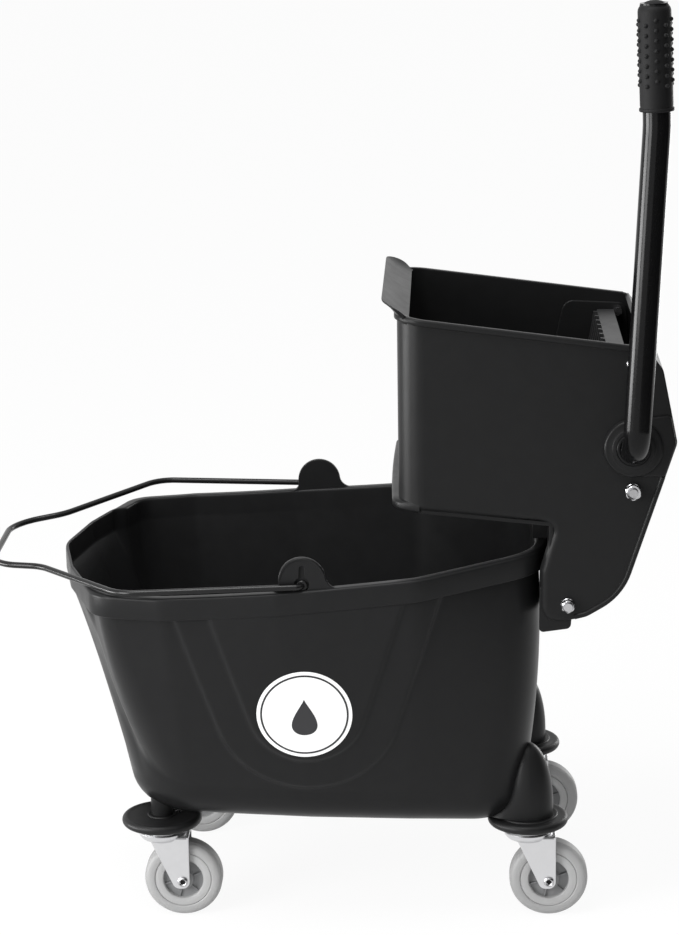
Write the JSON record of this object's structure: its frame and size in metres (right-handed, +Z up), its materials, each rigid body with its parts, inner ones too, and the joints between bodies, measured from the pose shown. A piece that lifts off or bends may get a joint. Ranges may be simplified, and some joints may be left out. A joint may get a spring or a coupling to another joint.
{
  "type": "side press mop wringer on a wheeled bucket",
  "caption": "Oval mop bucket on swivel casters with a wire bail, and a removable side press wringer worked by a tube lever with a rubber grip.",
  "frame": {"origin": "on the floor, under the middle of the whole part's box", "axes": "+X towards the wringer end, +Y to the side away from the lever, +Z up"},
  "size_m": [0.6606, 0.3878, 0.8905],
  "materials": {
    "bucket_plastic": "moulded satin black with a fine grain",
    "wringer_plastic": "moulded satin black",
    "bumper_rubber": "matt black",
    "zinc_plate": "bright zinc plate",
    "fasteners": "bright zinc plate",
    "tyre_grey": "grey thermoplastic rubber",
    "hub_plastic": "moulded grey",
    "bush_nylon": "natural nylon",
    "black_wire": "glossy black coating",
    "black_tube": "glossy black powder coat",
    "grip_rubber": "matt black with round nubs",
    "gear_plastic": "moulded dark grey",
    "press_plastic": "moulded grey with ribs"
  },
  "bodies": {
    "bucket": {"bucket_shell": "bucket_plastic", "bumper_front_left": "bumper_rubber", "bumper_front_right": "bumper_rubber", "bumper_rear_left": "bumper_rubber", "bumper_rear_right": "bumper_rubber", "stem_front_left": "zinc_plate", "stem_front_right": "zinc_plate", "stem_rear_left": "zinc_plate", "stem_rear_right": "zinc_plate"},
    "bail": {"bail_wire": "black_wire"},
    "wringer": {"wringer_basket": "wringer_plastic", "axle_bush_left": "gear_plastic", "axle_bush_right": "gear_plastic", "idler_shaft": "fasteners", "lower_tie_rod": "fasteners", "stop_bolts": "fasteners", "tie_nuts": "fasteners", "tie_washers": "fasteners", "plate_pivot_rod": "fasteners"},
    "lever": {"lever_tube": "black_tube", "lever_grip": "grip_rubber", "axle_cap": "grip_rubber", "pinion_left": "gear_plastic", "pinion_right": "gear_plastic"},
    "idler_left": {"idler_left": "gear_plastic"},
    "idler_right": {"idler_right": "gear_plastic"},
    "press": {"press_plate": "press_plastic", "quadrant_left": "gear_plastic", "quadrant_right": "gear_plastic"},
    "fork_front_left": {"fork_front_left": "zinc_plate", "axle_front_left": "zinc_plate"},
    "wheel_front_left": {"tyre_front_left": "tyre_grey", "hub_front_left": "hub_plastic", "bush_front_left": "bush_nylon"},
    "fork_front_right": {"fork_front_right": "zinc_plate", "axle_front_right": "zinc_plate"},
    "wheel_front_right": {"tyre_front_right": "tyre_grey", "hub_front_right": "hub_plastic", "bush_front_right": "bush_nylon"},
    "fork_rear_left": {"fork_rear_left": "zinc_plate", "axle_rear_left": "zinc_plate"},
    "wheel_rear_left": {"tyre_rear_left": "tyre_grey", "hub_rear_left": "hub_plastic", "bush_rear_left": "bush_nylon"},
    "fork_rear_right": {"fork_rear_right": "zinc_plate", "axle_rear_right": "zinc_plate"},
    "wheel_rear_right": {"tyre_rear_right": "tyre_grey", "hub_rear_right": "hub_plastic", "bush_rear_right": "bush_nylon"}
  },
  "joints": [
    {"name": "wringer_lift", "type": "slide", "parent": "bucket", "child": "wringer", "axis": [0, 0, 1], "range_m": [0, 0.11]},
    {"name": "lever_pivot", "type": "hinge", "parent": "wringer", "child": "lever", "pos_m": [0.2897, 0, 0.475], "axis": [0, -1, 0], "range_deg": [0, 88]},
    {"name": "idler_left_spin", "type": "hinge", "parent": "wringer", "child": "idler_left", "pos_m": [0.2897, 0, 0.434], "axis": [0, -1, 0], "range_deg": [-124.3, 0]},
    {"name": "idler_right_spin", "type": "hinge", "parent": "wringer", "child": "idler_right", "pos_m": [0.2897, 0, 0.434], "axis": [0, -1, 0], "range_deg": [-124.3, 0]},
    {"name": "press_swing", "type": "hinge", "parent": "wringer", "child": "press", "pos_m": [0.21894, 0, 0.41236], "axis": [0, -1, 0], "range_deg": [0, 37.06]},
    {"name": "bail_swing", "type": "hinge", "parent": "bucket", "child": "bail", "pos_m": [-0.01831, 0, 0.35769], "axis": [0, 1, 0], "range_deg": [0, 95]},
    {"name": "swivel_front_left", "type": "hinge", "parent": "bucket", "child": "fork_front_left", "pos_m": [-0.16381, -0.1075, 0.084], "axis": [0, 0, 1], "continuous": true},
    {"name": "roll_front_left", "type": "hinge", "parent": "fork_front_left", "child": "wheel_front_left", "pos_m": [-0.14381, -0.1075, 0.038], "axis": [0, 1, 0], "continuous": true},
    {"name": "swivel_front_right", "type": "hinge", "parent": "bucket", "child": "fork_front_right", "pos_m": [-0.16381, 0.1075, 0.084], "axis": [0, 0, 1], "continuous": true},
    {"name": "roll_front_right", "type": "hinge", "parent": "fork_front_right", "child": "wheel_front_right", "pos_m": [-0.14381, 0.1075, 0.038], "axis": [0, 1, 0], "continuous": true},
    {"name": "swivel_rear_left", "type": "hinge", "parent": "bucket", "child": "fork_rear_left", "pos_m": [0.19319, -0.1075, 0.084], "axis": [0, 0, 1], "continuous": true},
    {"name": "roll_rear_left", "type": "hinge", "parent": "fork_rear_left", "child": "wheel_rear_left", "pos_m": [0.21319, -0.1075, 0.038], "axis": [0, 1, 0], "continuous": true},
    {"name": "swivel_rear_right", "type": "hinge", "parent": "bucket", "child": "fork_rear_right", "pos_m": [0.19319, 0.1075, 0.084], "axis": [0, 0, 1], "continuous": true},
    {"name": "roll_rear_right", "type": "hinge", "parent": "fork_rear_right", "child": "wheel_rear_right", "pos_m": [0.21319, 0.1075, 0.038], "axis": [0, 1, 0], "continuous": true}
  ],
  "couplings": [
    {"joint": "idler_left_spin", "follows": "lever_pivot", "ratio": -1.4118},
    {"joint": "idler_right_spin", "follows": "lever_pivot", "ratio": -1.4118},
    {"joint": "press_swing", "follows": "lever_pivot", "ratio": 0.42105}
  ]
}
